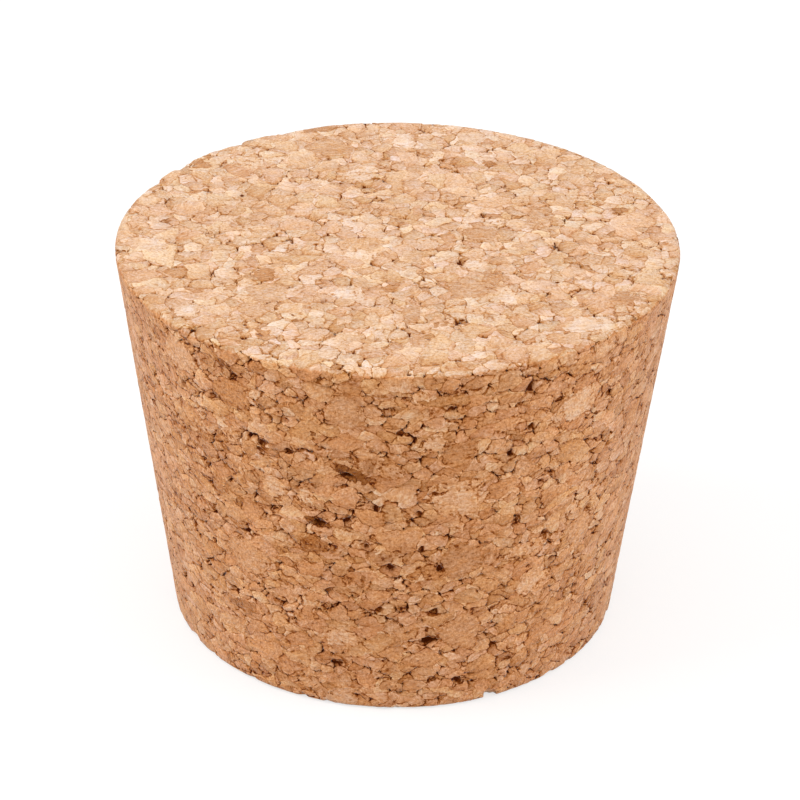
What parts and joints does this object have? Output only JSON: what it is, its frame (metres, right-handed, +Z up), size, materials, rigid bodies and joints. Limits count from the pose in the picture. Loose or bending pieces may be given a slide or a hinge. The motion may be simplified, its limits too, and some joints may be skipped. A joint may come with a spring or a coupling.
{
  "type": "cork stopper",
  "caption": "Tapered round stopper of agglomerated cork, pressed narrow end first into a round mouth to close it.",
  "frame": {"origin": "centre of the narrow end face, which the stopper stands on", "axes": "+Z up along the stopper's axis, from the narrow end to the wide end; X and Y are any two directions across it"},
  "size_m": [0.055, 0.055, 0.04],
  "materials": {
    "cork": "matt, ground agglomerated cork with open pores"
  },
  "bodies": {
    "root": {"stopper": "cork"}
  },
  "joints": []
}
